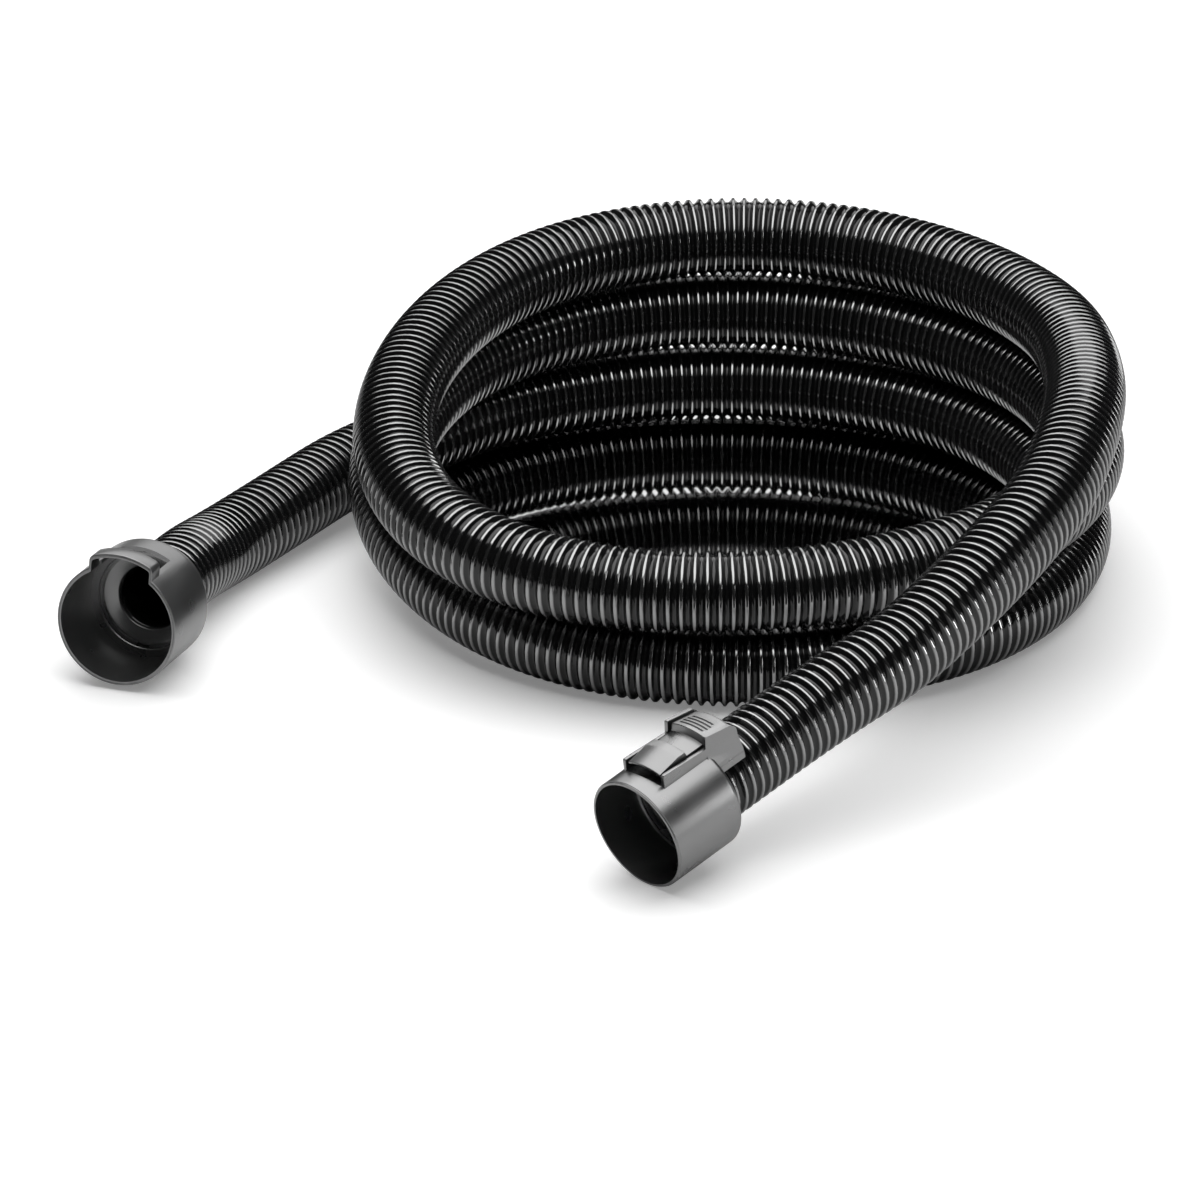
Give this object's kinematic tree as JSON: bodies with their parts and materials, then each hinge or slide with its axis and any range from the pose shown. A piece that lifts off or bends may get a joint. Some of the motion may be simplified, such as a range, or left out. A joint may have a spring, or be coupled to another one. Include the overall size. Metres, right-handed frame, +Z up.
{
  "type": "vacuum hose",
  "caption": "Ribbed suction hose lying in a coil, with a swivelling clip connector on one end and a swivelling socket with a catch on the other.",
  "frame": {"origin": "under the middle of the whole part, on the floor that it lies on", "axes": "+Z up; -Y is the way that the connector's mouth faces, seen from above; +X to its right"},
  "size_m": [0.5003, 0.5677, 0.1327],
  "materials": {
    "hose": "smooth, satin to gloss",
    "fitting": "satin",
    "cuff": "satin",
    "seal": "matte",
    "steel": "bright"
  },
  "bodies": {
    "hose": {"hose_tail": "hose", "hose_coil": "hose", "hose_sweep": "hose", "socket_cuff": "cuff", "socket_seal": "seal", "connector_cuff": "cuff", "connector_seal": "seal"},
    "socket": {"socket_body": "fitting", "socket_retaining_ring": "cuff"},
    "connector": {"connector_body": "fitting", "connector_retaining_ring": "cuff", "latch_pivot_pin": "steel", "latch_spring": "steel"},
    "latch": {"latch_lever": "fitting"}
  },
  "joints": [
    {"name": "socket_swivel", "type": "hinge", "parent": "hose", "child": "socket", "pos_m": [-0.15547, -0.22989, 0.03289], "axis": [0.423, -0.903, 0.075], "continuous": true},
    {"name": "connector_swivel", "type": "hinge", "parent": "hose", "child": "connector", "pos_m": [0.22093, -0.22114, 0.03566], "axis": [-0.0204, -0.9757, -0.2181], "continuous": true},
    {"name": "latch_press", "type": "hinge", "parent": "connector", "child": "latch", "pos_m": [0.22163, -0.20047, 0.07194], "axis": [0.9998, -0.019, -0.0085], "range_deg": [0, 5], "stiffness_Nm_per_rad": 0.6, "springref_deg": -5.73, "deforming": ["latch_spring"]}
  ]
}
